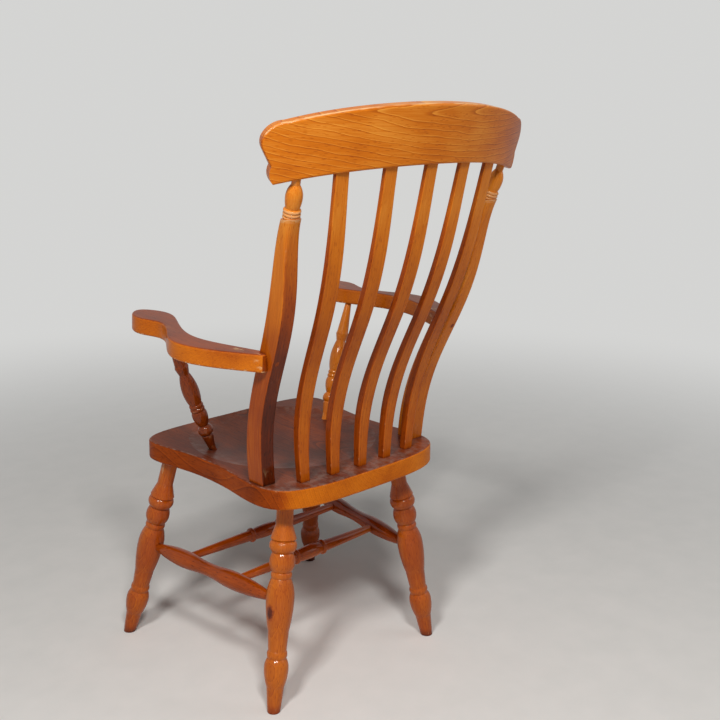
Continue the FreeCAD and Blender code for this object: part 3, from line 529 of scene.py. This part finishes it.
for side, sign in SIDES:
    for end, run in LEG_RUNS.items():
        finish = new_finish(f"leg_{end}_{side}_beech")
        grain = sided_grain(finish, run, sign)
        dress(f"leg_{end}_{side}", varnished_beech(finish, grain, Wood(
            tone=LEG_TONES_WITH_PAINTED_SHADE[end, side], pith=(0.031 * sign, 0.012), tilt=(0.05, 0.03 * sign),
            ring_gap=0.006, end_axis=(0, 0, 1), painted_shades=(FOOT_PAINTED_SHADE,),
            spots=LEG_DARK_PATCHES.get((end, side), ()), wear=0.35, coat=0.50, coat_rough=0.08)))

    # The side stretchers' low tone is painted shade under the seat
    finish = new_finish(f"side_stretcher_{side}_beech")
    grain = sided_grain(finish, SIDE_STRETCHER_RUN, sign)
    dress(f"side_stretcher_{side}", varnished_beech(finish, grain, Wood(
        tone=0.43, pith=(0.02, 0.025 * sign), tilt=(0.03, 0.02), figure=1.3, wear=0.3,
        coat=0.45, coat_rough=0.08)))

    finish = new_finish(f"arm_support_{side}_beech")
    grain = sided_grain(finish, ARM_SUPPORT_RUN, sign)
    # The right support's tone is raised and the left's lowered: painted light on one, painted shade
    # on the other
    dress(f"arm_support_{side}", varnished_beech(finish, grain, Wood(
        tone=0.55 - 0.20 * sign, pith=(0.022, 0.018), tilt=(0.03, 0.03), figure=1.3, wear=0.85,
        coat=0.50, coat_rough=0.08)))

for end, tone in CROSS_TONES_WITH_PAINTED_SHADE:
    finish = new_finish(f"cross_stretcher_{end}_beech")
    low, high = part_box(f"cross_stretcher_{end}")
    middle = (low + high) / 2
    grain = straight_grain(finish, middle - CROSS_REACH, middle + CROSS_REACH)
    dress(f"cross_stretcher_{end}", varnished_beech(finish, grain, Wood(
        tone=tone, pith=(0.02, 0.016), tilt=(0.03, 0.02), figure=1.3, wear=0.3,
        coat=0.45, coat_rough=0.08)))


# Laths and back posts, with the grain bent along their length

LATHS = ("outer_left", "inner_left", "centre", "inner_right", "outer_right")
LATH_RAKES = (0, 0.007, 0.043, 0.098, 0.140, 0.170)
LATH_FOOT_GAP = 0.0678
LATH_FOOT_BACK = 0.1255
LATH_FOOT_BOW = 0.970
LATH_TOP_GAP = 0.0925
# Painted shade on the laths, deepening from high on the back down to arm height
LATH_PAINTED_SHADE = ("Z", 0.92, 0.68, 0.17)
POST_RAKES = (0, 0.010, 0.049, 0.098, 0.1325, 0.175)
POST_FOOT = (0.1955, 0.0695)
POST_TOP = (0.258, 0.2447)
ARM_HOUSING = (0.645, 0.74)
POST_RINGS = (0.930, 0.955)


def fall(radius, x):
    """How far a bow falls back at a distance from its middle."""
    return radius - math.sqrt(radius * radius - x * x)


for place, lath in enumerate(LATHS):
    step = 2 - place
    foot_x = step * LATH_FOOT_GAP
    top_x = step * LATH_TOP_GAP
    foot = (foot_x, LATH_FOOT_BACK - fall(LATH_FOOT_BOW, foot_x))
    top = (top_x, CREST_BACK - fall(CREST_BOW, top_x))
    finish = new_finish(f"lath_{lath}_beech")
    grain = bent_grain(finish, foot, top, LATH_RAKES)
    # The laths' side faces are darker: painted shade
    dress(f"lath_{lath}", varnished_beech(finish, grain, Wood(
        tone=0.75, pith=(0.012 * step + 0.005, 0.035 + 0.006 * place),
        tilt=(0.012, 0.02 - 0.01 * place), ring_gap=0.0045, figure=1.2, side_painted_shade=0.20,
        painted_shades=(LATH_PAINTED_SHADE,), wear=0.6)))

for side, sign in SIDES:
    finish = new_finish(f"back_post_{side}_beech")
    foot, top = ((sign * x, y) for x, y in (POST_FOOT, POST_TOP))
    grain = bent_grain(finish, foot, top, POST_RAKES)
    # Painted light and shade by side: the left post's rear face and lower part are darker, the right
    # post's lighter
    dress(f"back_post_{side}", varnished_beech(finish, grain, Wood(
        tone=0.80, pith=(0.03 * sign, 0.035), tilt=(0.02, 0.02), figure=1.2,
        rear_painted_shade=0.16 + 0.12 * sign, painted_shades=(("Z", 0.85, 0.60, 0.22 + 0.12 * sign),),
        wear=0.9, wear_gap=ARM_HOUSING, pale_rings=POST_RINGS, coat=0.32, coat_rough=0.10)))


# Crest rail, seat board, arms, plugs and screws

STEEL = ((0.3, (0.40, 0.39, 0.37)), (0.7, (0.60, 0.59, 0.57)))

finish = new_finish("crest_rail_beech")
grain = bowed_grain(finish)
rings = looped_rings(finish, grain)
# The crest darkens towards its right end: painted shade
dress("crest_rail", varnished_beech(finish, grain, Wood(
    tone=0.76, ring_share=0.17, figure=1.2, end_axis=(1, 0, 0),
    painted_shades=(("X", -0.10, -0.31, 0.18),), wear=1.0, wear_facing=(0.15, 0.4, 0.93, 0.99),
    # A pale line on the rear arris: partly rubbed wood, partly painted highlight
    rear_arris_wear_and_highlight=1.0, coat=0.18), rings))

finish = new_finish("seat_board_beech")
grain = straight_grain(finish, *SEAT_RUN)
# The seat's sides are darker, painted shade under the arms; its top is darker, dulled by use and
# partly painted shade
dress("seat_board", varnished_beech(finish, grain, Wood(
    tone=0.66, pith=(0.03, 0.09), tilt=(0.04, 0.05), ring_gap=0.008, ring_share=0.08,
    side_painted_shade=0.28, dull_and_shaded_top=0.40, dust=0.05, rim_dust=0.55, wear=0.6,
    wear_facing=(-0.6, -0.3, 0.70, 0.85), coat=0.06)))

for side, sign in SIDES:
    finish = new_finish(f"arm_{side}_beech")
    grain = sided_grain(finish, ARM_RUN, sign)
    # The arms' tops are darker: dulled by use, and partly painted shade
    dress(f"arm_{side}", varnished_beech(finish, grain, Wood(
        tone=0.62, pith=(0.03 * sign, 0.05), tilt=(0.04, 0.03), ring_gap=0.006,
        end_axis=(0, 1, 0), end_dark=0.30, dull_and_shaded_top=0.24, dust=0.04, wear=0.7, under_arris=0.9)))

finish = new_finish("plug_beech")
grain = straight_grain(finish, *PLUG_RUN)
dress("arm_screw_plugs", varnished_beech(finish, grain, Wood(tone=0.40, ring_gap=0.003, wear=0.2)))

finish = new_finish("screw_steel")
scratches = finish.speckle(finish.stretched(finish.place(), 0.1), 900, 3.0)
steel = finish.add("ShaderNodeBsdfPrincipled", Metallic=1.0,
                   Base_Color=finish.ramp(scratches, STEEL),
                   Roughness=finish.between(scratches, 0.2, 0.8, 0.30, 0.48))
dress("arm_screws", finish.close("ShaderNodeOutputMaterial", steel.outputs["BSDF"]))


# Pale floor that fades into the pale surround

SURROUND = (0.66, 0.66, 0.65, 1)
FLOOR_PAINT = ((0.3, (0.775, 0.770, 0.755)), (0.7, (0.81, 0.80, 0.785)))
FLOOR_RADIUS = 30
FLOOR_DROP = 0.0005
FADE_START = 0.7
FADE_END = 3.2

mesh = bmesh.new()
bmesh.ops.create_circle(mesh, cap_ends=True, cap_tris=False, segments=96, radius=FLOOR_RADIUS)
floor_mesh = bpy.data.meshes.new("pale_floor")
mesh.to_mesh(floor_mesh)
mesh.free()
floor = bpy.data.objects.new("pale_floor", floor_mesh)
scene.collection.objects.link(floor)
floor.location.z = -FLOOR_DROP

finish = new_finish("pale_floor_paint")
where = finish.place()
reach = finish.add("ShaderNodeVectorMath", operation="LENGTH", Vector=where).outputs["Value"]
far = finish.product(finish.between(reach, FADE_START, FADE_END), finish.seen())
mottle = finish.ramp(finish.speckle(where, 14, 3.0), FLOOR_PAINT)
paint = finish.add("ShaderNodeBsdfPrincipled", Base_Color=mottle, Roughness=0.8).outputs["BSDF"]
glow = finish.add("ShaderNodeEmission", Color=SURROUND, Strength=1.0).outputs["Emission"]
floor_mesh.materials.append(finish.close("ShaderNodeOutputMaterial", finish.mixed(far, paint, glow)))


# Soft light: a pale surround, two lamps over the viewer's left shoulder and a broad fill

WARM = (1.0, 0.98, 0.95)
DOME_STRENGTH = 0.11
BACK_MIDDLE = (0, 0.1, 0.6)
SEAT_MIDDLE = (0, 0.0, 0.5)

scene.world = bpy.data.worlds.new("pale_surround")
dome = Shading(scene.world)
soft = dome.add("ShaderNodeBackground", Color=(*WARM, 1), Strength=DOME_STRENGTH)
plain = dome.add("ShaderNodeBackground", Color=SURROUND, Strength=1.0)
dome.close("ShaderNodeOutputWorld", dome.mixed(
    dome.seen(), soft.outputs["Background"], plain.outputs["Background"]))


def lamp(name, place, target, width, height, power, colour=(1, 1, 1)):
    """A flat lamp that faces the target."""
    data = bpy.data.lights.new(name, "AREA")
    data.shape = "RECTANGLE"
    data.size = width
    data.size_y = height
    data.energy = power
    data.color = colour
    thing = bpy.data.objects.new(name, data)
    thing.location = place
    thing.rotation_euler = (Vector(target) - Vector(place)).to_track_quat("-Z", "Y").to_euler()
    scene.collection.objects.link(thing)


lamp("lamp_left", (2.25, 1.20, 2.85), BACK_MIDDLE, width=0.5, height=0.5, power=58, colour=WARM)
lamp("lamp_middle", (1.30, 2.10, 2.95), BACK_MIDDLE, width=0.5, height=0.5, power=54, colour=WARM)
lamp("lamp_fill", (-1.9, 1.6, 1.7), SEAT_MIDDLE, width=1.4, height=1.2, power=7)


# Camera at the picture's viewing angle

VIEW_YAW, VIEW_PITCH, VIEW_ROLL = 43.04, 8.43, 0.45
VIEW_PLACE = (1.316, 1.513, 1.143)
VIEW_LENS = 51.6
VIEW_SHIFT = (0.0082, -0.160)

yaw, pitch, roll = (math.radians(angle) for angle in (VIEW_YAW, VIEW_PITCH, VIEW_ROLL))
look = Vector((-math.sin(yaw) * math.cos(pitch), -math.cos(yaw) * math.cos(pitch),
               -math.sin(pitch)))
right = Vector((-math.cos(yaw), math.sin(yaw), 0))
up = right.cross(look)
turned_right = math.cos(roll) * right + math.sin(roll) * up
turned_up = math.cos(roll) * up - math.sin(roll) * right
view = bpy.data.cameras.new("view")
view.lens = VIEW_LENS
view.sensor_width = 36
view.shift_x, view.shift_y = VIEW_SHIFT
camera = bpy.data.objects.new("view", view)
camera.matrix_world = Matrix((turned_right, turned_up, -look)).transposed().to_4x4()
camera.location = VIEW_PLACE
scene.collection.objects.link(camera)
scene.camera = camera
